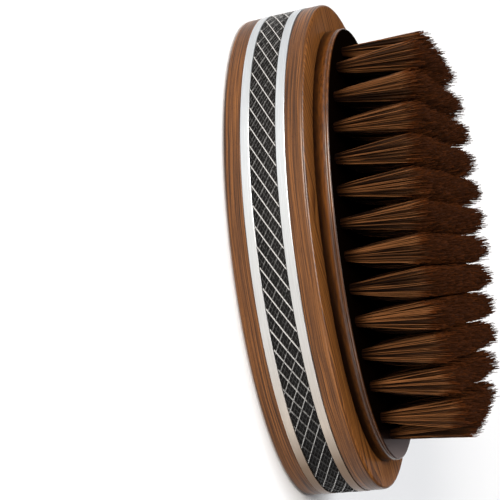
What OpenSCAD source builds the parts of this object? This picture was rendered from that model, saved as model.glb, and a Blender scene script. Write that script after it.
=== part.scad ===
// Oval beard brush: two walnut slabs clamped round a wooden core, with two steel hoops and a
// knurled rubber grip hoop between them, and a lacquered bristle base that carries 14 rows of tufts.
// The brush lies on its flat back. X is across the width, Y along the length, +Z out through the bristles.

/* [Body] */
// Length of the oval body
body_l = 120; // [105:1:140]
// Width of the oval body
body_w = 60; // [54:1:70]
// Thickness of the walnut back cap
back_t = 4.8; // [4.4:0.1:7]
// Height of each steel hoop
steel_t = 2.3; // [1.5:0.1:3]
// Height of the knurled grip hoop
grip_t = 6.8; // [5:0.1:9]
// Thickness of the walnut front plate
front_t = 4.7; // [4.4:0.1:7]
// Wall of the three hoops
hoop_wall = 2.5; // [1.5:0.1:3.5]
// Glue gap between the core and the hoops
glue_gap = 0.1; // [0.05:0.05:0.2]
// Rounding of the back cap's lower edge, measured at the ends of the oval
back_round = 1.4; // [0.5:0.1:2]
// Rounding of the front plate's upper edge, measured at the ends of the oval
front_round = 0.6; // [0.3:0.1:1]

/* [Bristle base] */
// Length of the bristle base
base_l = 106.2; // [100:0.2:110]
// Width of the bristle base
base_w = 47.8; // [46:0.2:52]
// Height of the bristle base above the front plate
base_t = 3.9; // [3:0.1:5]
// Depth of the seat that the bristle base is glued into
seat_depth = 1; // [0.6:0.1:1.4]
// Side clearance of the bristle base in its seat
seat_gap = 0.1; // [0.05:0.05:0.2]

/* [Bristles] */
// Distance between rows
row_pitch = 7.65; // [7.4:0.05:7.8]
// Distance from the last full row to the short end row
end_gap = 4.5; // [4:0.1:5]
// Lean of the end rows outwards, in degrees
end_lean = 1; // [0:0.5:2]
// Length of the bristles above the base
bristle_l = 22.4; // [18:0.2:24]
// Half-width of the planted area
plant_x = 19.9; // [18:0.1:20]
// Half-length of the planted area
plant_y = 47.8; // [47:0.1:49]
// Usual distance between tufts in a row
tuft_pitch = 5.4; // [5:0.1:6]
// Diameter of the tuft holes
hole_d = 3.4; // [3:0.1:3.6]
// Depth of the tuft holes
hole_depth = 3.6; // [3:0.1:3.8]

/* [Fasteners] */
// Diameter of the wooden dowels
dowel_d = 6; // [5:0.5:7]
// Distance of each dowel from the centre
dowel_y = 45; // [40:1:48]
// Shank diameter of the clamp screws
screw_d = 3.5; // [3:0.1:4]
// Head diameter of the clamp screws
screw_head_d = 7; // [6:0.1:8]
// Distance of each screw from the centre line across the width
screw_x = 12; // [9:1:15]
// Distance of each screw from the centre along the length
screw_y = 27; // [20:1:32]

/* [Hidden] */
$fn = 96;
ROWS = 14;
full_rows = ROWS - 2;
z_back = back_t;
z_steel_low = z_back + steel_t;
z_grip = z_steel_low + grip_t;
z_core = z_grip + steel_t;
z_front = z_core + front_t;
z_seat = z_front - seat_depth;
z_base = z_front + base_t;
z_hole = z_base - hole_depth;
skin = 1.8;                       // wood left under a blind hole in the back cap
dowel_cover = 1.2;                // wood left over a dowel in the front plate
screw_clear = 0.4;                // extra diameter round the screws in the front plate and core
base_trim = 0.3;                  // planed off the back cap so that it lies on a true flat
head_h = 2.2;
drive_d = 3.4;
drive_depth = 1.4;
anchor_l = 3;                     // flat wire that each tuft is folded over
anchor_w = 0.5;
anchor_h = 1.2;
root_gap = 0.1;                   // side clearance of a tuft's root in its hole
tip_fill = 0.47;                  // tip radius as a share of the tuft spacing
end_fill = 0.8;                   // tip radius of the end rows against the others
tip_dome = 2.6;                   // height of the rounded tip
eps = 0.5;

function row_y(i) =
    i == 1 ? (full_rows - 1) / 2 * row_pitch + end_gap
    : i == ROWS ? -row_y(1)
    : ((ROWS + 1) / 2 - i) * row_pitch;
function row_half(i) = plant_x * sqrt(1 - pow(row_y(i) / plant_y, 2));
function row_count(i) = round(2 * row_half(i) / tuft_pitch) + 1;
function row_step(i) = 2 * row_half(i) / (row_count(i) - 1);
function row_lean(i) = i == 1 ? -end_lean : i == ROWS ? end_lean : 0;

// Straight-sided oval disc standing on z.
module oval(l, w, z, h) {
    translate([0, 0, z]) scale([w / l, 1, 1]) cylinder(d = l, h = h);
}

// Oval ring, flush with the body outside.
module hoop(z, h) {
    difference() {
        oval(body_l, body_w, z, h);
        oval(body_l - 2 * hoop_wall, body_w - 2 * hoop_wall, z - eps, h + 2 * eps);
    }
}

// Quarter-round cut that leaves a rounded corner of radius r, for an outline turned about Y.
module corner_cut(r) {
    difference() {
        translate([-r, -eps]) square([r + eps, r + eps]);
        translate([-r, r]) circle(r);
        translate([-r - eps, r]) square([r + 2 * eps, eps]);
    }
}

// Oval slab with its lower or upper edge rounded.
module slab(z, h, low_r, high_r) {
    translate([0, 0, z]) scale([body_w / body_l, 1, 1]) rotate_extrude() difference() {
        square([body_l / 2, h]);
        if (low_r > 0) translate([body_l / 2, 0]) corner_cut(low_r);
        if (high_r > 0) translate([body_l / 2, h]) mirror([0, 1]) corner_cut(high_r);
    }
}

module at_dowels() {
    for (s = [-1, 1]) translate([0, s * dowel_y, 0]) children();
}

module at_screws() {
    for (sx = [-1, 1], sy = [-1, 1]) translate([sx * screw_x, sy * screw_y, 0]) children();
}

module at_tufts(i) {
    for (k = [0 : row_count(i) - 1])
        translate([-row_half(i) + k * row_step(i), row_y(i), 0]) children();
}

module dowel() {
    translate([0, 0, skin]) cylinder(d = dowel_d, h = z_seat - dowel_cover - skin);
}

// Clamp screw: straight shank and countersunk head flush with the seat.
module screw_body(extra) {
    translate([0, 0, skin]) cylinder(d = screw_d + extra, h = z_seat - skin);
    translate([0, 0, z_seat - head_h])
        cylinder(d1 = screw_d + extra, d2 = screw_head_d + extra, h = head_h);
}

module clamp_screw() {
    difference() {
        screw_body(0);
        translate([0, 0, z_seat - drive_depth]) cylinder(d = drive_d, h = drive_depth + eps, $fn = 6);
    }
}

// One bundle of bristles: a round root in its hole, then a flare that ends in a rounded tip.
module tuft(i) {
    root_r = hole_d / 2 - root_gap;
    tip_r = row_step(i) * tip_fill * (i == 1 || i == ROWS ? end_fill : 1);
    translate([0, 0, z_hole + anchor_h]) cylinder(r = root_r, h = hole_depth - anchor_h);
    translate([0, 0, z_base]) rotate([row_lean(i), 0, 0]) rotate_extrude() polygon([
        [0, 0],
        [root_r, 0],
        [tip_r, bristle_l - tip_dome],
        [tip_r * 0.8, bristle_l - tip_dome * 0.35],
        [tip_r * 0.45, bristle_l],
        [0, bristle_l]
    ]);
}

module back_cap() {
    color("#6b3f1f") difference() {
        slab(-base_trim, back_t + base_trim, back_round, 0);
        translate([-body_w, -body_l, -2 * base_trim]) cube([2 * body_w, 2 * body_l, 2 * base_trim]);
        at_dowels() dowel();
        at_screws() translate([0, 0, skin]) cylinder(d = screw_d, h = back_t);
    }
}

module core_block() {
    inner = 2 * (hoop_wall + glue_gap);
    color("#c79b66") difference() {
        oval(body_l - inner, body_w - inner, z_back, z_core - z_back);
        at_dowels() dowel();
        at_screws() translate([0, 0, z_back - eps])
            cylinder(d = screw_d + screw_clear, h = z_core - z_back + 2 * eps);
    }
}

module back_steel_hoop() {
    color("#d9d8d4") hoop(z_back, steel_t);
}

module grip_hoop() {
    color("#1c1b1b") hoop(z_steel_low, grip_t);
}

module front_steel_hoop() {
    color("#d9d8d4") hoop(z_grip, steel_t);
}

module front_plate() {
    color("#7a4a24") difference() {
        slab(z_core, front_t, 0, front_round);
        oval(base_l + 2 * seat_gap, base_w + 2 * seat_gap, z_seat, seat_depth + eps);
        at_dowels() dowel();
        at_screws() screw_body(screw_clear);
    }
}

module bristle_base() {
    color("#3a1d14") difference() {
        oval(base_l, base_w, z_seat, z_base - z_seat);
        for (i = [1 : ROWS]) at_tufts(i)
            translate([0, 0, z_hole]) cylinder(d = hole_d, h = hole_depth + eps);
    }
}

module dowels() {
    color("#d8b98a") at_dowels() dowel();
}

module clamp_screws() {
    color("#8f8f8c") at_screws() clamp_screw();
}

module tuft_anchors() {
    color("#b9a46a") for (i = [1 : ROWS]) at_tufts(i)
        translate([-anchor_l / 2, -anchor_w / 2, z_hole]) cube([anchor_l, anchor_w, anchor_h]);
}

module tuft_row(i) {
    color("#4a2611") at_tufts(i) tuft(i);
}

back_cap();
core_block();
back_steel_hoop();
grip_hoop();
front_steel_hoop();
front_plate();
bristle_base();
dowels();
clamp_screws();
tuft_anchors();
tuft_row(1);  // tuft_row_01
tuft_row(2);  // tuft_row_02
tuft_row(3);  // tuft_row_03
tuft_row(4);  // tuft_row_04
tuft_row(5);  // tuft_row_05
tuft_row(6);  // tuft_row_06
tuft_row(7);  // tuft_row_07
tuft_row(8);  // tuft_row_08
tuft_row(9);  // tuft_row_09
tuft_row(10);  // tuft_row_10
tuft_row(11);  // tuft_row_11
tuft_row(12);  // tuft_row_12
tuft_row(13);  // tuft_row_13
tuft_row(14);  // tuft_row_14
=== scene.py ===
"""Oval beard brush: walnut slabs, brushed steel hoops, a ribbed rubber grip and 14 rows of boar bristle.

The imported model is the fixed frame. Every piece is in metres in that frame: X across the brush, Y along
it, Z out through the bristles. Sizes that the frame gives are read from it, and the rest are properties.
"""

import math

import bmesh
import bpy
import numpy as np
from bpy.props import FloatProperty, FloatVectorProperty, IntProperty, PointerProperty
from mathutils import Matrix, Vector


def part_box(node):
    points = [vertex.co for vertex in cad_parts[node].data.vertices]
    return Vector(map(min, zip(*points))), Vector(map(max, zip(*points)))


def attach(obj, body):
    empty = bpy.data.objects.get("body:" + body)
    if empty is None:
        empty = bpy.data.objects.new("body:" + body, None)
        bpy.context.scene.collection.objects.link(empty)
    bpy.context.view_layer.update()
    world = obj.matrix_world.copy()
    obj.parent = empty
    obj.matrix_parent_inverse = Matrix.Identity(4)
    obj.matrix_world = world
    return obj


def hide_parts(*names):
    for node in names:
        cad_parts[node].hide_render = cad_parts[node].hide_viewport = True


bl_info = {
    "name": "Beard brush",
    "version": (1, 0, 0),
    "blender": (4, 5, 0),
    "location": "3D View > Sidebar > Brush",
    "description": "Builds an oval beard brush around its CAD frame",
    "category": "Object",
}

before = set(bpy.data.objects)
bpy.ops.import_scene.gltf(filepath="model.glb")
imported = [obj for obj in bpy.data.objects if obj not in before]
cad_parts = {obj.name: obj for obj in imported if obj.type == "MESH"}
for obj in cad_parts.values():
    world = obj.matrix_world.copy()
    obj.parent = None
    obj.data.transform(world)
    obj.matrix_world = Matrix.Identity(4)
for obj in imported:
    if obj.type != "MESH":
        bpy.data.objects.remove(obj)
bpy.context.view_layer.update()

MM = 0.001
BODY = "root"
ROWS = sorted(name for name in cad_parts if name.startswith("tuft_row_"))
# Points round each oval.
OVAL_STEPS = 288
# The turn in radians from one hair to the next that fills a round bundle evenly.
GOLDEN_ANGLE = 2.39996
# Rings along a hair, and the radius of the straight strand that it is bent from.
HAIR_RINGS = 6
STRAND_RADIUS = 0.3
# A Mix node's sockets share their names, so they are picked by place.
NUMBER_A, NUMBER_B = 2, 3
COLOUR_A, COLOUR_B = 6, 7
COLOUR_OUT = 2


# ---------------------------------------------------------------- colours and nodes


def srgb(code):
    """A hex colour as linear red, green and blue."""
    parts = [int(code[i : i + 2], 16) / 255 for i in (1, 3, 5)]
    return tuple(c / 12.92 if c <= 0.04045 else ((c + 0.055) / 1.055) ** 2.4 for c in parts)


def rgba(colour):
    """A colour property or tuple with full opacity added."""
    return (*colour, 1.0)


def add(tree, kind, inputs=None, stops=None, **settings):
    """Adds a node. An input given as a socket is linked, and any other value is set on the node."""
    node = tree.nodes.new(kind)
    for name, value in settings.items():
        setattr(node, name, value)
    for key, value in (inputs or {}).items():
        if isinstance(value, bpy.types.NodeSocket):
            tree.links.new(value, node.inputs[key])
        else:
            node.inputs[key].default_value = value
    for index, (place, colour) in enumerate(stops or []):
        ramp = node.color_ramp.elements
        element = ramp[index] if index < 2 else ramp.new(place)
        element.position = place
        element.color = rgba(colour)
    return node


def new_material(name):
    """An empty node material and its node tree."""
    material = bpy.data.materials.new(name)
    material.use_nodes = True
    material.node_tree.nodes.clear()
    return material, material.node_tree


# ---------------------------------------------------------------- mesh helpers


def node_oval(node):
    """Half-width, half-length, bottom and top of an oval CAD node."""
    low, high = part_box(node)
    return (high.x - low.x) / 2, (high.y - low.y) / 2, low.z, high.z


def pick(items, kind):
    """The bmesh items of one kind."""
    return [item for item in items if isinstance(item, kind)]


def ring_edges(verts):
    """The edges that join these vertices to each other."""
    chosen = set(verts)
    edges = dict.fromkeys(edge for vert in verts for edge in vert.link_edges)
    return [edge for edge in edges if chosen.issuperset(edge.verts)]


def oval_loft(bm, stations, ring=False):
    """Extrudes an oval loop through (half-width, half-length, height) stations.

    A ring closes on its start, and any other loft is capped. Gives the edges at each station.
    """
    verts = bmesh.ops.create_circle(bm, cap_ends=False, segments=OVAL_STEPS, radius=1)["verts"]
    made = []
    last_w, last_l, last_z = 1, 1, 0
    for half_w, half_l, z in [*stations, stations[0]] if ring else stations:
        if made:
            grown = bmesh.ops.extrude_edge_only(bm, edges=made[-1])["geom"]
            verts = pick(grown, bmesh.types.BMVert)
        bmesh.ops.scale(bm, vec=(half_w / last_w, half_l / last_l, 1), verts=verts)
        bmesh.ops.translate(bm, vec=(0, 0, z - last_z), verts=verts)
        made.append(ring_edges(verts))
        last_w, last_l, last_z = half_w, half_l, z
    if ring:
        bmesh.ops.remove_doubles(bm, verts=bm.verts[:], dist=0.001 * MM)
    else:
        bmesh.ops.edgeloop_fill(bm, edges=made[0])
        bmesh.ops.edgeloop_fill(bm, edges=made[-1])
    bmesh.ops.recalc_face_normals(bm, faces=bm.faces[:])
    return made


def round_edges(bm, edges, radius, segments=3):
    """Rounds a loop of edges."""
    bmesh.ops.bevel(
        bm,
        geom=[edge for edge in edges if edge.is_valid],
        offset=radius,
        offset_type="OFFSET",
        segments=segments,
        profile=0.5,
        affect="EDGES",
        material=-1,
        clamp_overlap=True,
    )


def finish_piece(bm, name, material, replaced=(), smooth=True):
    """Turns a bmesh into a named piece. On a smooth one, broad faces stay flat between rounded edges."""
    for face in bm.faces:
        face.smooth = smooth
    mesh = bpy.data.meshes.new(name)
    bm.to_mesh(mesh)
    bm.free()
    piece = place_piece(mesh, name, material, replaced)
    if smooth:
        weighting = piece.modifiers.new("weighted_normals", "WEIGHTED_NORMAL")
        weighting.mode = "FACE_AREA"
        weighting.weight = 90
    return piece


def place_piece(mesh, name, material, replaced=()):
    """Links a mesh as a piece that rides on the brush's body."""
    piece = bpy.data.objects.new(name, mesh)
    bpy.context.scene.collection.objects.link(piece)
    mesh.materials.append(material)
    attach(piece, BODY)
    if replaced:
        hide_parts(*replaced)
    return piece


def read_points(mesh):
    """A mesh's points, one (x, y, z) to a row."""
    points = np.zeros(len(mesh.vertices) * 3)
    mesh.vertices.foreach_get("co", points)
    return points.reshape(-1, 3)


def oval_angles(half_w, half_l, count=4096):
    """Angles round an oval and the distance along its edge at each."""
    angle = np.linspace(0, 2 * math.pi, count + 1)
    x, y = half_w * np.cos(angle), half_l * np.sin(angle)
    run = np.concatenate([[0], np.cumsum(np.hypot(np.diff(x), np.diff(y)))])
    return angle, run


def wrap_on_oval(bm, half_w, half_l):
    """Bends flat work round the oval: X becomes the way along the edge, Y the height, Z the way out."""
    angle, run = oval_angles(half_w, half_l)
    for vert in bm.verts:
        at = float(np.interp(vert.co.x % run[-1], run, angle))
        edge = Vector((half_w * math.cos(at), half_l * math.sin(at), 0))
        out = Vector((math.cos(at) / half_w, math.sin(at) / half_l, 0)).normalized()
        vert.co = edge + out * vert.co.z + Vector((0, 0, vert.co.y))


# ---------------------------------------------------------------- properties


class BrushShape(bpy.types.PropertyGroup):
    """Sizes that the looks add to the frame."""

    back_round: FloatProperty(
        name="Back rounding", description="Rounding of the back cap's lower edge",
        default=1.1 * MM, min=0.3 * MM, max=2 * MM, unit="LENGTH", precision=5,
    )
    front_round: FloatProperty(
        name="Front rounding", description="Rounding of the front plate's upper edge",
        default=0.85 * MM, min=0.1 * MM, max=1 * MM, unit="LENGTH", precision=5,
    )
    joint_round: FloatProperty(
        name="Joint rounding", description="Broken edge where a layer meets its neighbour",
        default=0.16 * MM, min=0.05 * MM, max=0.3 * MM, unit="LENGTH", precision=5,
    )
    steel_proud: FloatProperty(
        name="Wood set-in", description="How far the wood is sanded below the steel hoops",
        default=0.1 * MM, min=0, max=0.2 * MM, unit="LENGTH", precision=5,
    )
    bead_round: FloatProperty(
        name="Bead rounding", description="Rounding of the moulded bead on the bristle base",
        default=0.42 * MM, min=0.2 * MM, max=0.6 * MM, unit="LENGTH", precision=5,
    )


class GripShape(bpy.types.PropertyGroup):
    """The crossed ribs of the grip."""

    recess: FloatProperty(
        name="Recess", description="Depth of the grip's ground below the steel",
        default=0.3 * MM, min=0.1 * MM, max=0.6 * MM, unit="LENGTH", precision=5,
    )
    rib_count: IntProperty(
        name="Ribs", description="Ribs round the oval in each direction", default=60, min=30, max=90,
    )
    rib_width: FloatProperty(
        name="Rib width", description="Width of one rib",
        default=0.26 * MM, min=0.2 * MM, max=0.8 * MM, unit="LENGTH", precision=5,
    )
    rib_run: FloatProperty(
        name="Rib run", description="How far a rib travels along the oval as it crosses the band",
        default=11.2 * MM, min=4 * MM, max=16 * MM, unit="LENGTH", precision=5,
    )


class BristleShape(bpy.types.PropertyGroup):
    """The hair of one tuft."""

    hairs: IntProperty(name="Hairs", description="Hairs in each tuft", default=300, min=50, max=700)
    hair_d: FloatProperty(
        name="Hair diameter", description="Diameter of a hair at its root",
        default=0.27 * MM, min=0.1 * MM, max=0.4 * MM, unit="LENGTH", precision=5,
    )
    locks: IntProperty(name="Locks", description="Small locks in each tuft", default=120, min=20, max=300)
    root_radius: FloatProperty(
        name="Root radius", description="Radius of a tuft where it leaves the base",
        default=1.1 * MM, min=0.8 * MM, max=1.6 * MM, unit="LENGTH", precision=5,
    )
    tip_y: FloatProperty(
        name="Tip spread", description="Half-size of a tuft's tip along the brush",
        default=3.5 * MM, min=1.5 * MM, max=3.8 * MM, unit="LENGTH", precision=5,
    )
    dome: FloatProperty(
        name="Tip dome", description="How much shorter the outer hairs are",
        default=3.2 * MM, min=0, max=5 * MM, unit="LENGTH", precision=5,
    )
    ragged: FloatProperty(
        name="Ragged ends", description="Typical difference in length from hair to hair",
        default=0.7 * MM, min=0, max=1.5 * MM, unit="LENGTH", precision=5,
    )
    wave: FloatProperty(
        name="Waviness", description="Typical sideways wander of one hair",
        default=0.075 * MM, min=0, max=0.6 * MM, unit="LENGTH", precision=5,
    )
    sweep: FloatProperty(
        name="Sweep", description="How far all tips lean towards -Y",
        default=0.65 * MM, min=-2 * MM, max=2 * MM, unit="LENGTH", precision=5,
    )
    gather: FloatProperty(
        name="Gather", description="Share by which tips on the +X side are drawn towards the middle",
        default=0.07, min=0, max=0.2,
    )
    end_tuck: FloatProperty(
        name="End tuck", description="How far the tips of the two end rows lean inwards",
        default=2.0 * MM, min=0, max=4 * MM, unit="LENGTH", precision=5,
    )
    seed: IntProperty(name="Seed", description="Seed of the hair pattern", default=7)


class BrushColours(bpy.types.PropertyGroup):
    """Colours of the finishes."""

    walnut_pale: FloatVectorProperty(
        name="Walnut pale", description="Early wood", subtype="COLOR", default=srgb("#8e5c2b"))
    walnut_mid: FloatVectorProperty(
        name="Walnut mid", description="Body colour of the walnut", subtype="COLOR", default=srgb("#6a3e19"))
    walnut_dark: FloatVectorProperty(
        name="Walnut dark", description="Late wood and pores", subtype="COLOR", default=srgb("#2a1307"))
    steel: FloatVectorProperty(
        name="Steel", description="Brushed stainless steel", subtype="COLOR", default=srgb("#dee2e5"))
    rubber: FloatVectorProperty(
        name="Rubber", description="Moulded rubber", subtype="COLOR", default=srgb("#0b0a0a"))
    # Pale rib colour: partly wear, partly a painted highlight where the ribs would catch the lamps.
    rubber_wear_and_highlight: FloatVectorProperty(
        name="Worn rubber", description="Rib tops polished by handling", subtype="COLOR",
        default=srgb("#bdbcbb"))
    lacquer: FloatVectorProperty(
        name="Lacquered wood", description="Dark stained wood under lacquer", subtype="COLOR",
        default=srgb("#6d3f14"))
    # The root and tip colours are painted shade: the necks and the far tips lie in shadow.
    bristle_root_shade: FloatVectorProperty(
        name="Bristle root", description="Bristle near its root", subtype="COLOR", default=srgb("#1a0c06"))
    bristle_mid: FloatVectorProperty(
        name="Bristle", description="Bristle along its length", subtype="COLOR", default=srgb("#80522f"))
    bristle_tip_shade: FloatVectorProperty(
        name="Bristle tip", description="Bristle at its split tip", subtype="COLOR", default=srgb("#4f270d"))


# ---------------------------------------------------------------- materials


def walnut_side_figure(tree, mm):
    """Growth layers seen edge on: long lines 0.2 to 0.5 mm wide. Gives (colour, height)."""
    drift = add(tree, "ShaderNodeTexNoise", {"Vector": mm, "Scale": 0.035, "Detail": 2})
    bent = add(tree, "ShaderNodeVectorMath", {
        0: drift.outputs["Color"], 1: (0, 0, 1.6), 2: mm}, operation="MULTIPLY_ADD").outputs[0]
    layers = add(tree, "ShaderNodeMapping", {"Vector": bent, "Scale": (0.06, 0.022, 2.9)}).outputs[0]
    height = add(tree, "ShaderNodeTexNoise", {
        "Vector": layers, "Scale": 1, "Detail": 5, "Roughness": 0.7}).outputs["Fac"]
    colour = add(tree, "ShaderNodeValToRGB", {"Fac": height}, stops=[
        (0.37, srgb("#241207")), (0.63, srgb("#774a22")), (0.48, srgb("#4f2f15"))]).outputs["Color"]
    return colour, height


def walnut_face_figure(tree, mm, colours):
    """Growth lines about 1 mm apart, drawn into arches, under fine fibre. Gives (colour, height)."""
    turned = add(tree, "ShaderNodeMapping", {
        "Vector": mm, "Rotation": (0, 0, -0.3), "Location": (17, 0, -24)}).outputs[0]
    broad = add(tree, "ShaderNodeMapping", {"Vector": turned, "Scale": (0.055, 0.02, 0.03)}).outputs[0]
    sway = add(tree, "ShaderNodeTexNoise", {"Vector": broad, "Scale": 1, "Detail": 2, "Roughness": 0.4})
    bent = add(tree, "ShaderNodeVectorMath", {
        0: sway.outputs["Color"], 1: (20, 0, 0), 2: turned}, operation="MULTIPLY_ADD").outputs[0]
    rings = add(tree, "ShaderNodeTexWave", {
        "Vector": bent, "Scale": 0.27, "Distortion": 0.0}, bands_direction="X", wave_profile="SAW")
    ring_colour = add(tree, "ShaderNodeValToRGB", {"Fac": rings.outputs["Fac"]}, stops=[
        (0.0, colours.walnut_pale), (1.0, colours.walnut_dark), (0.45, colours.walnut_mid),
        (0.85, colours.walnut_dark)]).outputs["Color"]
    # Fibres are 0.5 mm wide and 30 mm long.
    drawn = add(tree, "ShaderNodeMapping", {"Vector": turned, "Scale": (2.2, 0.03, 2.2)}).outputs[0]
    height = add(tree, "ShaderNodeTexNoise", {
        "Vector": drawn, "Scale": 1, "Detail": 5, "Roughness": 0.65}).outputs["Fac"]
    fibre_colour = add(tree, "ShaderNodeValToRGB", {"Fac": height}, stops=[
        (0.38, colours.walnut_dark), (0.64, colours.walnut_pale),
        (0.5, colours.walnut_mid)]).outputs["Color"]
    colour = add(tree, "ShaderNodeMix", {
        "Factor": 0.4, COLOUR_A: ring_colour, COLOUR_B: fibre_colour},
        data_type="RGBA").outputs[COLOUR_OUT]
    return colour, height


def walnut_material(colours):
    """Oiled black walnut, sanded and waxed: long growth lines on the sides, arched figure on the faces."""
    material, tree = new_material("oiled_walnut")
    place = add(tree, "ShaderNodeTexCoord").outputs["Object"]
    mm = add(tree, "ShaderNodeMapping", {"Vector": place, "Scale": (1000, 1000, 1000)}).outputs[0]
    side_colour, side_height = walnut_side_figure(tree, mm)
    face_colour, face_height = walnut_face_figure(tree, mm, colours)

    # The rounded edges pass from one figure to the other.
    normal = add(tree, "ShaderNodeNewGeometry").outputs["True Normal"]
    up = add(tree, "ShaderNodeSeparateXYZ", {"Vector": normal}).outputs["Z"]
    flat = add(tree, "ShaderNodeMath", {0: up, 1: 0}, operation="ABSOLUTE").outputs[0]
    facing = add(tree, "ShaderNodeMapRange", {"Value": flat, "From Min": 0.6, "From Max": 0.99}).outputs[0]
    figure = add(tree, "ShaderNodeMix", {
        "Factor": facing, COLOUR_A: side_colour, COLOUR_B: face_colour},
        data_type="RGBA").outputs[COLOUR_OUT]
    height = add(tree, "ShaderNodeMix", {
        "Factor": facing, NUMBER_A: side_height, NUMBER_B: face_height}).outputs[0]
    bump = add(tree, "ShaderNodeBump", {"Height": height, "Strength": 0.06, "Distance": 0.08 * MM})

    # Pores are about 0.14 mm wide and 3 mm long.
    pore_place = add(tree, "ShaderNodeMapping", {"Vector": mm, "Scale": (7, 0.3, 7)}).outputs[0]
    pores = add(tree, "ShaderNodeTexNoise", {"Vector": pore_place, "Scale": 1, "Detail": 1})
    pore_mask = add(tree, "ShaderNodeValToRGB", {"Fac": pores.outputs["Fac"]}, stops=[
        (0.28, (0.45, 0.45, 0.45)), (0.40, (0, 0, 0))]).outputs["Color"]
    coloured = add(tree, "ShaderNodeMix", {
        "Factor": pore_mask, COLOUR_A: figure, COLOUR_B: rgba(colours.walnut_dark)},
        data_type="RGBA").outputs[COLOUR_OUT]

    # Rounded edges are polished by the hand.
    edge = add(tree, "ShaderNodeMapRange", {"Value": flat, "From Min": 0.12, "From Max": 0.5}).outputs[0]
    level = add(tree, "ShaderNodeMapRange", {"Value": flat, "From Min": 0.99, "From Max": 0.85}).outputs[0]
    ridge = add(tree, "ShaderNodeMath", {0: edge, 1: level}, operation="MULTIPLY").outputs[0]
    polish = add(tree, "ShaderNodeMapRange", {"Value": ridge, "To Min": 0.16, "To Max": 0.9}).outputs[0]
    gloss = add(tree, "ShaderNodeMapRange", {
        "Value": height, "From Min": 0.3, "From Max": 0.7, "To Min": 0.46, "To Max": 0.34})
    shader = add(tree, "ShaderNodeBsdfPrincipled", {
        "Base Color": coloured, "Roughness": gloss.outputs[0], "Normal": bump.outputs[0], "IOR": 1.46,
        "Specular IOR Level": 0.2, "Coat Weight": polish, "Coat Roughness": 0.22, "Coat IOR": 1.4})
    add(tree, "ShaderNodeOutputMaterial", {"Surface": shader.outputs[0]})
    return material


def steel_material(colours):
    """Stainless steel strip, brushed along its length: fine streaks that run round the oval."""
    material, tree = new_material("brushed_stainless")
    place = add(tree, "ShaderNodeTexCoord").outputs["Object"]
    # Scratches are finer than 0.1 mm on the real strip and are drawn 0.12 mm wide so that they show.
    streak_place = add(tree, "ShaderNodeMapping", {"Vector": place, "Scale": (120, 120, 8000)}).outputs[0]
    streaks = add(tree, "ShaderNodeTexNoise", {
        "Vector": streak_place, "Scale": 1, "Detail": 3, "Roughness": 0.6})
    # The strip is painted darker and browner towards its -Y end: a painted reflection of the dark
    # surroundings on that side.
    along = add(tree, "ShaderNodeSeparateXYZ", {"Vector": place}).outputs["Y"]
    dark_reflection_share = add(tree, "ShaderNodeMapRange", {
        "Value": along, "From Min": -60 * MM, "From Max": 20 * MM}).outputs[0]
    tone_and_painted_shade = add(tree, "ShaderNodeValToRGB", {"Fac": dark_reflection_share}, stops=[
        (0.0, srgb("#6a5444")), (1.0, colours.steel), (0.1, srgb("#8d7967")), (0.22, srgb("#d3c6b8")),
        (0.5, srgb("#dedcd9"))]).outputs["Color"]
    grey = add(tree, "ShaderNodeMix", {
        "Factor": streaks.outputs["Fac"], COLOUR_A: tone_and_painted_shade, COLOUR_B: rgba(srgb("#c4c4c3"))},
        data_type="RGBA", blend_type="MULTIPLY").outputs[COLOUR_OUT]
    rough = add(tree, "ShaderNodeMapRange", {
        "Value": streaks.outputs["Fac"], "To Min": 0.24, "To Max": 0.42})
    bump = add(tree, "ShaderNodeBump", {
        "Height": streaks.outputs["Fac"], "Strength": 0.25, "Distance": 0.02 * MM})
    shader = add(tree, "ShaderNodeBsdfPrincipled", {
        "Base Color": grey, "Metallic": 1.0, "Roughness": rough.outputs[0], "Normal": bump.outputs[0]})
    add(tree, "ShaderNodeOutputMaterial", {"Surface": shader.outputs[0]})
    return material


def rubber_material(colours):
    """Black moulded rubber with a pebbled ground: matt, with pale dust in the grain."""
    material, tree = new_material("moulded_rubber")
    place = add(tree, "ShaderNodeTexCoord").outputs["Object"]
    # The pebbles are about 0.4 mm across.
    pebble = add(tree, "ShaderNodeTexNoise", {
        "Vector": place, "Scale": 2600, "Detail": 2, "Roughness": 0.7})
    specks = add(tree, "ShaderNodeValToRGB", {"Fac": pebble.outputs["Fac"]}, stops=[
        (0.6, colours.rubber), (0.8, srgb("#2c2a28"))]).outputs["Color"]
    bump = add(tree, "ShaderNodeBump", {
        "Height": pebble.outputs["Fac"], "Strength": 0.8, "Distance": 0.15 * MM})
    shader = add(tree, "ShaderNodeBsdfPrincipled", {
        "Base Color": specks, "Roughness": 0.6, "Normal": bump.outputs[0], "IOR": 1.5,
        "Specular IOR Level": 0.12})
    add(tree, "ShaderNodeOutputMaterial", {"Surface": shader.outputs[0]})
    return material


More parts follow.
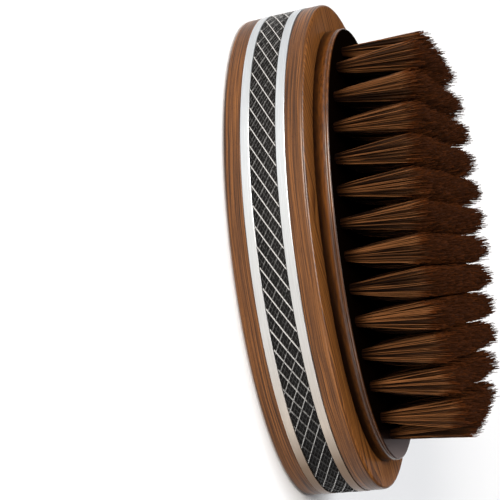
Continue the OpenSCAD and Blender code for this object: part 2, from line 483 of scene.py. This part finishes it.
def rib_material(name, colours, reach, wear):
    """The same rubber on ribs turned grey partly by wear and partly by a painted highlight: how grey changes
    over a reach, in mm along Y.
    """
    material, tree = new_material(name)
    place = add(tree, "ShaderNodeTexCoord").outputs["Object"]
    along = add(tree, "ShaderNodeSeparateXYZ", {"Vector": place}).outputs["Y"]
    # Along Y the ribs turn paler where their flanks would face the lamps: a painted highlight laid over the
    # wear.
    wear_and_highlight = add(tree, "ShaderNodeMapRange", {
        "Value": along, "From Min": reach[0] * MM, "From Max": reach[1] * MM,
        "To Min": wear[0], "To Max": wear[1]}).outputs[0]
    # Wear marks are about 0.8 mm long.
    marks = add(tree, "ShaderNodeTexNoise", {"Vector": place, "Scale": 1300, "Detail": 3, "Roughness": 0.7})
    patch = add(tree, "ShaderNodeMapRange", {
        "Value": marks.outputs["Fac"], "From Min": 0.62, "From Max": 0.44, "To Min": 0.0, "To Max": 1.0})
    rubbed_and_lit = add(tree, "ShaderNodeMath", {0: patch.outputs[0], 1: wear_and_highlight}, operation="MULTIPLY").outputs[0]
    solid = add(tree, "ShaderNodeMath", {0: wear_and_highlight, 1: 3.0}, operation="POWER").outputs[0]
    mixed = add(tree, "ShaderNodeMath", {0: rubbed_and_lit, 1: solid}, operation="MAXIMUM", use_clamp=True)
    colour = add(tree, "ShaderNodeMix", {
        "Factor": mixed.outputs[0], COLOUR_A: rgba(colours.rubber), COLOUR_B: rgba(colours.rubber_wear_and_highlight)},
        data_type="RGBA").outputs[COLOUR_OUT]
    bump = add(tree, "ShaderNodeBump", {
        "Height": marks.outputs["Fac"], "Strength": 0.3, "Distance": 0.05 * MM})
    shader = add(tree, "ShaderNodeBsdfPrincipled", {
        "Base Color": colour, "Roughness": 0.34, "Normal": bump.outputs[0], "IOR": 1.5,
        "Specular IOR Level": 0.25})
    add(tree, "ShaderNodeOutputMaterial", {"Surface": shader.outputs[0]})
    return material


def lacquer_material(colours):
    """Dark stained wood under a full gloss lacquer: faint grain, sharp reflections on the bead."""
    material, tree = new_material("lacquered_dark_wood")
    place = add(tree, "ShaderNodeTexCoord").outputs["Object"]
    # Grain lines are 0.5 mm wide and 17 mm long.
    grain_place = add(tree, "ShaderNodeMapping", {"Vector": place, "Scale": (1900, 60, 1900)}).outputs[0]
    grain = add(tree, "ShaderNodeTexNoise", {
        "Vector": grain_place, "Scale": 1, "Detail": 4, "Roughness": 0.6})
    stain = add(tree, "ShaderNodeValToRGB", {"Fac": grain.outputs["Fac"]}, stops=[
        (0.3, srgb("#2c1408")), (0.7, colours.lacquer)]).outputs["Color"]
    # The stain lies nearly black on the drilled face and thins to brown on the wall; the wall is then
    # painted darker near the seat and towards -Y, as painted shade.
    normal = add(tree, "ShaderNodeNewGeometry").outputs["True Normal"]
    up = add(tree, "ShaderNodeSeparateXYZ", {"Vector": normal}).outputs["Z"]
    facing = add(tree, "ShaderNodeMapRange", {"Value": up, "From Min": 0.5, "From Max": 0.95}).outputs[0]
    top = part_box("bristle_base")[1].z
    along, height = add(tree, "ShaderNodeSeparateXYZ", {"Vector": place}).outputs[1:3]
    seat_shade = add(tree, "ShaderNodeMapRange", {
        "Value": height, "From Min": top - 2.0 * MM, "From Max": top - 2.8 * MM, "To Max": 0.5}).outputs[0]
    deep = add(tree, "ShaderNodeMapRange", {
        "Value": along, "From Min": 15 * MM, "From Max": -35 * MM, "To Max": 0.6}).outputs[0]
    wall_shade = add(tree, "ShaderNodeMath", {0: seat_shade, 1: deep}, operation="ADD", use_clamp=True).outputs[0]
    wall = add(tree, "ShaderNodeMix", {
        "Factor": wall_shade, COLOUR_A: stain, COLOUR_B: rgba(srgb("#120703"))},
        data_type="RGBA").outputs[COLOUR_OUT]
    # The drilled face is matt round the bristles and polished by the palm at its -Y end, where a lighter
    # purple-grey is also painted in as a reflection.
    end = add(tree, "ShaderNodeMapRange", {
        "Value": along, "From Min": -49.5 * MM, "From Max": -45 * MM,
        "To Min": 1.0, "To Max": 0.0}).outputs[0]
    sheen = add(tree, "ShaderNodeMix", {"Factor": facing, NUMBER_A: 0.5, NUMBER_B: end}).outputs[0]
    face_tone_and_reflection = add(tree, "ShaderNodeMix", {
        "Factor": end, COLOUR_A: rgba(srgb("#050201")), COLOUR_B: rgba(srgb("#1a1010"))},
        data_type="RGBA").outputs[COLOUR_OUT]
    colour = add(tree, "ShaderNodeMix", {
        "Factor": facing, COLOUR_A: wall, COLOUR_B: face_tone_and_reflection}, data_type="RGBA").outputs[COLOUR_OUT]
    coat = add(tree, "ShaderNodeMath", {0: sheen, 1: 0.9}, operation="MULTIPLY").outputs[0]
    bump = add(tree, "ShaderNodeBump", {
        "Height": grain.outputs["Fac"], "Strength": 0.12, "Distance": 0.05 * MM})
    shader = add(tree, "ShaderNodeBsdfPrincipled", {
        "Base Color": colour, "Roughness": 0.3, "Normal": bump.outputs[0], "IOR": 1.45,
        "Specular IOR Level": sheen, "Coat Weight": coat, "Coat Roughness": 0.12, "Coat IOR": 1.4})
    add(tree, "ShaderNodeOutputMaterial", {"Surface": shader.outputs[0]})
    return material


def bristle_material(colours):
    """Boar bristle: stiff tapered hair, brown with a waxy shine, with painted shade darkening it at the root
    and the tip.
    """
    material, tree = new_material("boar_bristle")
    # Each hair's mesh says how far along it a point is and how dark it is.
    along = add(tree, "ShaderNodeAttribute", attribute_name="along").outputs["Fac"]
    tone_and_painted_shade = add(tree, "ShaderNodeAttribute", attribute_name="tone_and_painted_shade").outputs["Fac"]
    # Along each hair the colour is darkened near the root and at the tip as painted shade.
    length = add(tree, "ShaderNodeValToRGB", {"Fac": along}, stops=[
        (0.0, colours.bristle_root_shade), (1.0, colours.bristle_tip_shade), (0.1, srgb("#40240f")),
        (0.28, colours.bristle_mid), (0.85, colours.bristle_mid),
        (0.95, colours.bristle_tip_shade)]).outputs["Color"]
    # Dark hairs, and the painted shade of hairs deep in a tuft and of the necks, pull the colour towards
    # near black.
    shade = add(tree, "ShaderNodeMix", {
        "Factor": tone_and_painted_shade, COLOUR_A: length, COLOUR_B: rgba(srgb("#120804"))},
        data_type="RGBA").outputs[COLOUR_OUT]
    shine = add(tree, "ShaderNodeMapRange", {
        "Value": along, "From Min": 0.75, "From Max": 0.95, "To Min": 0.16, "To Max": 0.03}).outputs[0]
    shader = add(tree, "ShaderNodeBsdfPrincipled", {
        "Base Color": shade, "Roughness": 0.4, "IOR": 1.5, "Specular IOR Level": shine})
    add(tree, "ShaderNodeOutputMaterial", {"Surface": shader.outputs[0]})
    return material


def beech_material():
    """Plain steamed beech: even pinkish straw colour with short dark flecks."""
    material, tree = new_material("plain_beech")
    place = add(tree, "ShaderNodeTexCoord").outputs["Object"]
    # Flecks are 0.5 mm wide and 4 mm long.
    fleck_place = add(tree, "ShaderNodeMapping", {"Vector": place, "Scale": (1800, 260, 1800)}).outputs[0]
    flecks = add(tree, "ShaderNodeTexNoise", {"Vector": fleck_place, "Scale": 1, "Detail": 3})
    colour = add(tree, "ShaderNodeValToRGB", {"Fac": flecks.outputs["Fac"]}, stops=[
        (0.34, srgb("#a67b50")), (0.52, srgb("#d0a878"))]).outputs["Color"]
    shader = add(tree, "ShaderNodeBsdfPrincipled", {"Base Color": colour, "Roughness": 0.6, "IOR": 1.48})
    add(tree, "ShaderNodeOutputMaterial", {"Surface": shader.outputs[0]})
    return material


def plain_metal_material(name, hex_colour, roughness):
    """A hidden metal part: drawn or plated, with a faint mottle in its shine."""
    material, tree = new_material(name)
    place = add(tree, "ShaderNodeTexCoord").outputs["Object"]
    # The mottle's patches are about 1 mm across.
    mottle = add(tree, "ShaderNodeTexNoise", {"Vector": place, "Scale": 900, "Detail": 2})
    rough = add(tree, "ShaderNodeMapRange", {
        "Value": mottle.outputs["Fac"], "To Min": roughness - 0.08, "To Max": roughness + 0.08})
    shader = add(tree, "ShaderNodeBsdfPrincipled", {
        "Base Color": rgba(srgb(hex_colour)), "Metallic": 1.0, "Roughness": rough.outputs[0]})
    add(tree, "ShaderNodeOutputMaterial", {"Surface": shader.outputs[0]})
    return material


# ---------------------------------------------------------------- bristles


def strand_stack(bm, count):
    """Straight three-sided strands side by side: strand n stands at x = n, with a ring at each whole z."""
    bmesh.ops.create_circle(bm, cap_ends=True, segments=3, radius=STRAND_RADIUS)
    cap = bm.faces[:]
    for _ in range(HAIR_RINGS - 1):
        grown = bmesh.ops.extrude_face_region(bm, geom=cap)["geom"]
        cap = pick(grown, bmesh.types.BMFace)
        bmesh.ops.translate(bm, vec=(0, 0, 1), verts=pick(grown, bmesh.types.BMVert))
    bmesh.ops.recalc_face_normals(bm, faces=bm.faces[:])
    width = 1
    while width < count:
        copied = bmesh.ops.duplicate(bm, geom=bm.verts[:] + bm.edges[:] + bm.faces[:])["geom"]
        bmesh.ops.translate(bm, vec=(width, 0, 0), verts=pick(copied, bmesh.types.BMVert))
        width *= 2
    spare = [vert for vert in bm.verts if vert.co.x > count - 0.5]
    bmesh.ops.delete(bm, geom=spare, context="VERTS")


def tuft_places(node):
    """Where a row's tufts stand, from its CAD solids: a list of (x, y, lean along Y), and the row's top."""
    points = read_points(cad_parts[node].data)
    low, high = points[:, 2].min(), points[:, 2].max()
    root = points[points[:, 2] < low + 0.05 * MM]
    # Roots of neighbouring tufts are more than 0.8 mm apart.
    across = np.sort(root[:, 0])
    groups = np.split(across, np.where(np.diff(across) > 0.8 * MM)[0] + 1)
    y = (root[:, 1].min() + root[:, 1].max()) / 2
    top = points[points[:, 2] > high - 0.6 * MM]
    lean = (top[:, 1].min() + top[:, 1].max()) / 2 - y
    return [((group.min() + group.max()) / 2, y, lean) for group in groups], high


def tuft_hairs(rng, shape, x, y, lean, step, base, top):
    """One tuft's hairs as arrays of their roots, tips, sideways waves and darkness from 0 to 1."""
    count = shape.hairs
    # Hairs stand evenly in the bundle, each a little off its place.
    order = np.arange(count)
    radius = np.sqrt((order + 0.5) / count)
    turn = order * GOLDEN_ANGLE + rng.normal(0, 0.35, count) / np.sqrt(order + 1)
    a, b = radius * np.cos(turn), radius * np.sin(turn)
    root = np.stack([x + shape.root_radius * a, y + shape.root_radius * b, np.full(count, base)], 1)

    # The round bundle opens into a rounded rectangle at its tips, and each tip is drawn towards its lock.
    square = 1 / np.maximum(np.abs(np.cos(turn)) ** 5 + np.abs(np.sin(turn)) ** 5, 1e-9) ** 0.2
    locks = rng.uniform(-1, 1, (shape.locks, 2))
    lock = np.argmin((a[:, None] - locks[:, 0]) ** 2 + (b[:, None] - locks[:, 1]) ** 2, axis=1)
    drawn = 0.3
    tip_a = a * square * (1 - drawn) + locks[lock, 0] * drawn
    tip_b = b * square * (1 - drawn) + locks[lock, 1] * drawn

    # Outer hairs are shorter, all lengths vary, and none stands over 0.4 mm above the trimmed top.
    shorter = shape.dome * np.abs(tip_b) ** 3 + 0.4 * shape.dome * np.abs(tip_a) ** 4
    ragged = rng.normal(0, shape.ragged, count) - rng.exponential(shape.ragged, count)
    height = top - shorter + ragged + rng.normal(0, 0.25 * MM, shape.locks)[lock]
    # Tips reach a little past halfway to the next tuft, so that the row closes.
    tip = np.stack([
        x + 0.58 * step * tip_a, y + lean + shape.tip_y * tip_b, np.minimum(top + 0.4 * MM, height)], 1)
    wave = shape.wave * (rng.normal(0, 1, (count, 4)) + 0.7 * rng.normal(0, 1, (shape.locks, 4))[lock])

    # Hairs deep in the bundle see little light and read as dark gaps, and some hairs and locks are dark.
    depth = np.clip(2.0 * (1 - radius), 0, 0.8)
    dark = (rng.random(shape.locks) < 0.2)[lock] | (rng.random(count) < 0.3)
    tone_and_painted_shade = np.where(dark, 0.95, 0.08) + rng.uniform(-0.2, 0.25, shape.locks)[lock] + depth
    return root, tip, wave, np.clip(tone_and_painted_shade, 0, 1)


def bend_strands(mesh, shape, root, tip, wave, tone_and_painted_shade, at_end):
    """Bends the straight strands into tapered hairs, and stores how far along and how dark each point is."""
    points = read_points(mesh)
    strand = np.floor(points[:, 0] + 0.5).astype(int)
    t = np.rint(points[:, 2]) / (HAIR_RINGS - 1)
    # Tufts inside a row open early and close the gaps, and the two at its ends keep a clear neck.
    end = at_end[strand]
    far = root[strand, 0] > 0
    inner_fan = np.minimum(1.15 * t ** 0.45, 1) + 0.18 * np.sin(math.pi * t)
    fan = np.where(end, np.where(far, t ** 0.8, t), inner_fan)
    path = root[strand] + (tip - root)[strand] * np.stack([fan, fan, t], 1)
    # A hair bows once along its length and bends back near its tip.
    path[:, :2] += wave[strand, :2] * np.sin(math.pi * t)[:, None]
    path[:, :2] += 0.6 * wave[strand, 2:] * (np.sin(2 * math.pi * t) + 0.8 * t)[:, None]
    # The three corners of each hair are turned their own way.
    corner_x = (points[:, 0] - strand) / STRAND_RADIUS
    corner_y = points[:, 1] / STRAND_RADIUS
    spin = strand * 2.4
    thick = shape.hair_d / 2 * (1 - 0.45 * t ** 1.5)
    path[:, 0] += thick * (corner_x * np.cos(spin) - corner_y * np.sin(spin))
    path[:, 1] += thick * (corner_x * np.sin(spin) + corner_y * np.cos(spin))
    # Necks inside a row lie in shadow, and the tips stand in the light.
    neck = np.where(end, 0, 1.1 * (1 - t))
    shade = np.clip(tone_and_painted_shade[strand] + neck, 0, 1) * (1 - 0.28 * t ** 4)
    mesh.vertices.foreach_set("co", path.astype(np.float32).ravel())
    mesh.attributes.new("along", "FLOAT", "POINT").data.foreach_set("value", t.astype(np.float32))
    mesh.attributes.new("tone_and_painted_shade", "FLOAT", "POINT").data.foreach_set("value", shade.astype(np.float32))
    mesh.polygons.foreach_set("use_smooth", np.ones(len(mesh.polygons), bool))
    mesh.update()


def bristle_row(row, node, shape, material, base):
    """One row of tufts as a single mesh of tapered hairs."""
    places, top = tuft_places(node)
    step = abs(places[1][0] - places[0][0])
    half = max(abs(x) for x, _, _ in places)
    rng = np.random.default_rng(shape.seed * 100 + row)
    tufts = []
    for x, y, lean in places:
        # The brush has been stroked: tips sit a little low along Y, and gather inwards on the +X side.
        swept = -shape.sweep - shape.gather * y * (1 + x / half) / 2
        if row in (1, len(ROWS)):
            swept -= shape.end_tuck * (1 if y > 0 else -1)
        tufts.append(tuft_hairs(rng, shape, x, y, lean + swept, step, base, top))
    root, tip, wave, tone_and_painted_shade = (np.concatenate(part) for part in zip(*tufts))
    at_end = np.repeat([abs(x) > half - 0.5 * step for x, _, _ in places], shape.hairs)

    name = f"bristle_row_{row:02d}"
    bm = bmesh.new()
    strand_stack(bm, len(root))
    mesh = bpy.data.meshes.new(name)
    bm.to_mesh(mesh)
    bm.free()
    bend_strands(mesh, shape, root, tip, wave, tone_and_painted_shade, at_end)
    return place_piece(mesh, name, material, (node,))


# ---------------------------------------------------------------- operators


class BRUSH_OT_wood(bpy.types.Operator):
    """Back cap and front plate in oiled walnut"""

    bl_idname = "brush.wood"
    bl_label = "Walnut slabs"

    def execute(self, context):
        shape = context.scene.brush_shape
        walnut = walnut_material(context.scene.brush_colours)
        # Where a slab meets the steel, its edge is broken a little more than the steel's.
        meeting_round = 1.4 * shape.joint_round
        half_w, half_l, low, high = self.sanded_oval("back_cap", shape.steel_proud)
        bm = bmesh.new()
        edges = oval_loft(bm, [(half_w, half_l, low), (half_w, half_l, high)])
        round_edges(bm, edges[0], shape.back_round, 6)
        round_edges(bm, edges[1], meeting_round, 2)
        finish_piece(bm, "walnut_back_cap", walnut, ("back_cap",))

        half_w, half_l, low, high = self.sanded_oval("front_plate", shape.steel_proud)
        # The bristle base sits in a shallow seat, with a narrow gap all round it.
        seat_w, seat_l, seat, _ = node_oval("bristle_base")
        gap = 0.1 * MM
        bm = bmesh.new()
        edges = oval_loft(bm, [
            (half_w, half_l, low),
            (half_w, half_l, high),
            (seat_w + gap, seat_l + gap, high),
            (seat_w + gap, seat_l + gap, seat),
        ])
        round_edges(bm, edges[1], shape.front_round, 4)
        round_edges(bm, edges[0], meeting_round, 2)
        finish_piece(bm, "walnut_front_plate", walnut, ("front_plate",))
        return {"FINISHED"}

    def sanded_oval(self, node, proud):
        """A slab's half-width, half-length, bottom and top, with its wall sanded below the steel."""
        half_w, half_l, low, high = node_oval(node)
        return half_w - proud, half_l - proud, low, high


class BRUSH_OT_hoops(bpy.types.Operator):
    """The two brushed steel hoops"""

    bl_idname = "brush.hoops"
    bl_label = "Steel hoops"

    def execute(self, context):
        shape = context.scene.brush_shape
        steel = steel_material(context.scene.brush_colours)
        core_w, core_l, _, _ = node_oval("core_block")
        for side in ("back", "front"):
            half_w, half_l, low, high = node_oval(f"{side}_steel_hoop")
            bm = bmesh.new()
            edges = oval_loft(bm, [
                (core_w, core_l, low), (half_w, half_l, low), (half_w, half_l, high), (core_w, core_l, high),
            ], ring=True)
            round_edges(bm, edges[1] + edges[2], shape.joint_round, 3)
            finish_piece(bm, f"steel_hoop_{side}", steel, (f"{side}_steel_hoop",))
        return {"FINISHED"}


class BRUSH_OT_grip(bpy.types.Operator):
    """The rubber grip: a recessed band with crossed ribs"""

    bl_idname = "brush.grip"
    bl_label = "Ribbed grip"

    def execute(self, context):
        shape = context.scene.grip_shape
        colours = context.scene.brush_colours
        core_w, core_l, _, _ = node_oval("core_block")
        half_w, half_l, low, high = node_oval("grip_hoop")
        ground_w, ground_l = half_w - shape.recess, half_l - shape.recess
        bm = bmesh.new()
        oval_loft(bm, [
            (core_w, core_l, low), (ground_w, ground_l, low),
            (ground_w, ground_l, high), (core_w, core_l, high),
        ], ring=True)
        finish_piece(bm, "rubber_grip", rubber_material(colours), ("grip_hoop",))

        # Each family is (name, finish, direction, places round the oval, spacing of the places left out,
        # width, height). The hatching leaves out the places that the main ribs take.
        rib_w, rib_h = shape.rib_width, shape.recess
        # Each family is painted paler along Y where its flanks would face the lamps: rising ribs towards +Y,
        # falling ribs towards -Y.
        rising = rib_material("worn_highlit_ribs_rising", colours, (-48, -22), (0.05, 1.0))
        falling = rib_material("worn_highlit_ribs_falling", colours, (-42, -12), (0.85, 0.3))
        hatching = rib_material("worn_highlit_hatching", colours, (-50, 10), (0.02, 0.13))
        ribs = shape.rib_count
        families = (
            ("rubber_ribs_rising", rising, 1, ribs, None, rib_w, rib_h),
            ("rubber_ribs_falling", falling, -1, ribs, None, rib_w, 0.94 * rib_h),
            ("rubber_hatch_rising", hatching, 1, 2 * ribs, 2, 0.6 * rib_w, 0.4 * rib_h),
            ("rubber_hatch_falling", hatching, -1, 3 * ribs, 3, 0.7 * rib_w, 0.5 * rib_h),
        )
        edge_run = oval_angles(ground_w, ground_l)[1][-1]
        across = high - low
        angle = math.atan2(across, shape.rib_run)
        length = 1.25 * math.hypot(across, shape.rib_run)
        for name, material, side, count, left_out, width, tall in families:
            bm = bmesh.new()
            self.add_rib(bm, low, high, side * angle, length, width, tall)
            rib = bm.verts[:] + bm.edges[:] + bm.faces[:]
            places = [index for index in range(count) if left_out is None or index % left_out]
            for index in places[1:]:
                copied = bmesh.ops.duplicate(bm, geom=rib)["geom"]
                shift = (index - places[0]) / count * edge_run
                bmesh.ops.translate(bm, vec=(shift, 0, 0), verts=pick(copied, bmesh.types.BMVert))
            bmesh.ops.translate(bm, vec=(places[0] / count * edge_run, 0, 0), verts=bm.verts[:])
            wrap_on_oval(bm, ground_w, ground_l)
            finish_piece(bm, name, material, smooth=False)
        return {"FINISHED"}

    def add_rib(self, bm, low, high, angle, length, width, tall):
        """One straight rib on the flat, cut off just inside the band's edges.

        Its crest is pinched to half its width, so that its flanks slope.
        """
        place = (
            Matrix.Translation((0, (low + high) / 2, 0.4 * tall))
            @ Matrix.Rotation(angle, 4, "Z")
            @ Matrix.Diagonal((length, width, 1.2 * tall, 1))
        )
        bmesh.ops.create_cube(bm, size=1, matrix=place)
        ridges = [edge for edge in bm.edges if edge.calc_length() > 0.9 * length]
        crest = [vert for vert in bm.verts if vert.co.z > 0.4 * tall]
        bmesh.ops.scale(bm, vec=(1, 0.5, 1), space=place.inverted(), verts=crest)
        bmesh.ops.subdivide_edges(bm, edges=ridges, cuts=7, use_grid_fill=True)
        margin = 0.15 * MM
        for height, away in ((low + margin, -1), (high - margin, 1)):
            cut = bmesh.ops.bisect_plane(
                bm, geom=bm.verts[:] + bm.edges[:] + bm.faces[:], plane_co=(0, height, 0),
                plane_no=(0, away, 0), clear_outer=True)["geom_cut"]
            bmesh.ops.holes_fill(bm, edges=pick(cut, bmesh.types.BMEdge), sides=16)
        bmesh.ops.recalc_face_normals(bm, faces=bm.faces[:])
        if bm.calc_volume(signed=True) < 0:
            bmesh.ops.reverse_faces(bm, faces=bm.faces[:])


class BRUSH_OT_base(bpy.types.Operator):
    """The lacquered bristle base with its moulded edge"""

    bl_idname = "brush.base"
    bl_label = "Bristle base"

    def execute(self, context):
        shape = context.scene.brush_shape
        half_w, half_l, low, high = node_oval("bristle_base")
        # A bead runs round the top, over a narrow groove: the quirk.
        quirk = 0.22 * MM
        bead = 0.85 * MM
        bm = bmesh.new()
        edges = oval_loft(bm, [
            (half_w, half_l, low),
            (half_w, half_l, high - bead - 1.2 * quirk),
            (half_w - quirk, half_l - quirk, high - bead - 0.2 * quirk),
            (half_w - quirk, half_l - quirk, high - bead + 0.2 * quirk),
            (half_w, half_l, high - bead + 0.9 * quirk),
            (half_w, half_l, high),
        ])
        round_edges(bm, edges[5], shape.bead_round, 5)
        finish_piece(
            bm, "lacquered_bristle_base", lacquer_material(context.scene.brush_colours),
            ("bristle_base",))
        return {"FINISHED"}


class BRUSH_OT_bristles(bpy.types.Operator):
    """Fourteen rows of boar bristle tufts"""

    bl_idname = "brush.bristles"
    bl_label = "Bristles"

    def execute(self, context):
        shape = context.scene.bristle_shape
        material = bristle_material(context.scene.brush_colours)
        # Hairs start 0.6 mm down in their holes.
        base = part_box("bristle_base")[1].z - 0.6 * MM
        for row, node in enumerate(ROWS, start=1):
            bristle_row(row, node, shape, material, base)
        return {"FINISHED"}


class BRUSH_OT_hidden(bpy.types.Operator):
    """Finishes of the pieces inside: core, dowels, screws and anchors"""

    bl_idname = "brush.hidden"
    bl_label = "Hidden pieces"

    def execute(self, context):
        beech = beech_material()
        finishes = {
            "core_block": beech,
            "dowels": beech,
            "clamp_screws": plain_metal_material("zinc_plated_steel", "#b9bcc0", 0.35),
            "tuft_anchors": plain_metal_material("drawn_brass", "#c8a75a", 0.3),
        }
        for node, material in finishes.items():
            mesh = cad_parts[node].data
            mesh.materials.clear()
            mesh.materials.append(material)
        return {"FINISHED"}


class BRUSH_OT_stage(bpy.types.Operator):
    """Pale floor, soft studio light and the camera"""

    bl_idname = "brush.stage"
    bl_label = "Stage"

    def execute(self, context):
        scene = context.scene
        self.lay_floor(scene)
        self.hang_lamps(scene)
        self.paint_studio(scene)
        self.set_camera(scene)
        return {"FINISHED"}

    def lay_floor(self, scene):
        """A matt white board 8 m square."""
        bm = bmesh.new()
        bmesh.ops.create_grid(bm, x_segments=1, y_segments=1, size=4)
        mesh = bpy.data.meshes.new("pale_floor")
        bm.to_mesh(mesh)
        bm.free()
        floor = bpy.data.objects.new("pale_floor", mesh)
        scene.collection.objects.link(floor)
        material, tree = new_material("matt_white_board")
        place = add(tree, "ShaderNodeTexCoord").outputs["Object"]
        mottle = add(tree, "ShaderNodeTexNoise", {"Vector": place, "Scale": 3, "Detail": 2})
        rough = add(tree, "ShaderNodeMapRange", {
            "Value": mottle.outputs["Fac"], "To Min": 0.7, "To Max": 0.8})
        shader = add(tree, "ShaderNodeBsdfPrincipled", {
            "Base Color": rgba(srgb("#f2f3f5")), "Roughness": rough.outputs[0]})
        add(tree, "ShaderNodeOutputMaterial", {"Surface": shader.outputs[0]})
        mesh.materials.append(material)

    def hang_lamps(self, scene):
        """Three round soft boxes, and a high, very soft sun that reaches the whole floor evenly."""
        boxes = {
            "key": ((-2.60, 1.25, 0.95), 1.40, 118.0, "#fff8ee"),
            "fill": ((-2.60, -1.30, 0.75), 1.20, 15.0, "#ffffff"),
            "back": ((1.30, -0.36, 0.50), 0.40, 0.42, "#ffe6e0"),
        }
        for name, (place, size, power, colour) in boxes.items():
            light = bpy.data.lights.new(name, "AREA")
            light.shape = "DISK"
            light.size = size
            light.energy = power
            light.color = srgb(colour)
            self.hang(scene, light, place)
        sun = bpy.data.lights.new("overhead", "SUN")
        sun.energy = 2.7
        sun.angle = math.radians(34)
        self.hang(scene, sun, (-0.10, 0.50, 2.40))

    def hang(self, scene, light, place):
        """Hangs one lamp so that it looks at the middle of the brush, 20 mm up."""
        lamp = bpy.data.objects.new(light.name, light)
        lamp.location = place
        lamp.rotation_euler = (Vector((0, 0, 20 * MM)) - lamp.location).to_track_quat("-Z", "Y").to_euler()
        scene.collection.objects.link(lamp)

    def paint_studio(self, scene):
        """Surroundings that are pale at the horizon, where they meet the floor, and dim overhead."""
        world = bpy.data.worlds.new("studio")
        world.use_nodes = True
        sky = world.node_tree
        sky.nodes.clear()
        way = add(sky, "ShaderNodeTexCoord").outputs["Generated"]
        along, height = add(sky, "ShaderNodeSeparateXYZ", {"Vector": way}).outputs[1:3]
        dome = add(sky, "ShaderNodeValToRGB", {"Fac": height}, stops=[
            (0.0, srgb("#f4f4f4")), (0.2, srgb("#2e2e32")), (0.07, srgb("#cfcfd2"))]).outputs["Color"]
        fall = add(sky, "ShaderNodeMapRange", {
            "Value": along, "From Min": -0.9, "From Max": 0.1, "To Min": 0.6}).outputs[0]
        glow = add(sky, "ShaderNodeBackground", {"Color": dome, "Strength": fall})
        add(sky, "ShaderNodeOutputWorld", {"Surface": glow.outputs[0]})
        scene.world = world

    def set_camera(self, scene):
        """A long lens 0.36 m away on the -X side, rolled so that the brush stands upright."""
        camera = bpy.data.cameras.new("camera")
        camera.lens = 102.9
        camera.clip_start = 0.01
        viewer = bpy.data.objects.new("camera", camera)
        spot = Vector((-0.32877, -0.02366, 0.14348))
        aim = Vector((0, 0.00259, -0.00848))
        roll = math.radians(81.21)
        level = (aim - spot).to_track_quat("-Z", "Y").to_matrix().to_4x4()
        viewer.matrix_world = Matrix.Translation(spot) @ level @ Matrix.Rotation(roll, 4, "Z")
        scene.collection.objects.link(viewer)
        scene.camera = viewer
        scene.view_settings.view_transform = "Standard"


class BRUSH_PT_panel(bpy.types.Panel):
    """Brush builder"""

    bl_idname = "BRUSH_PT_panel"
    bl_label = "Beard brush"
    bl_space_type = "VIEW_3D"
    bl_region_type = "UI"
    bl_category = "Brush"

    def draw(self, context):
        for group in (
            context.scene.brush_shape, context.scene.grip_shape,
            context.scene.bristle_shape, context.scene.brush_colours,
        ):
            box = self.layout.box()
            for name in group.__annotations__:
                box.prop(group, name)
        for operator in OPERATORS:
            self.layout.operator(operator.bl_idname)


OPERATORS = (
    BRUSH_OT_wood, BRUSH_OT_hoops, BRUSH_OT_grip, BRUSH_OT_base,
    BRUSH_OT_bristles, BRUSH_OT_hidden, BRUSH_OT_stage,
)
GROUPS = {
    "brush_shape": BrushShape, "grip_shape": GripShape,
    "bristle_shape": BristleShape, "brush_colours": BrushColours,
}


def register():
    for cls in (*GROUPS.values(), *OPERATORS, BRUSH_PT_panel):
        bpy.utils.register_class(cls)
    for name, cls in GROUPS.items():
        setattr(bpy.types.Scene, name, PointerProperty(type=cls))


def unregister():
    for name in GROUPS:
        delattr(bpy.types.Scene, name)
    for cls in reversed((*GROUPS.values(), *OPERATORS, BRUSH_PT_panel)):
        bpy.utils.unregister_class(cls)


def main():
    register()
    bpy.ops.brush.wood()
    bpy.ops.brush.hoops()
    bpy.ops.brush.grip()
    bpy.ops.brush.base()
    bpy.ops.brush.bristles()
    bpy.ops.brush.hidden()
    bpy.ops.brush.stage()


if __name__ == "__main__":
    main()
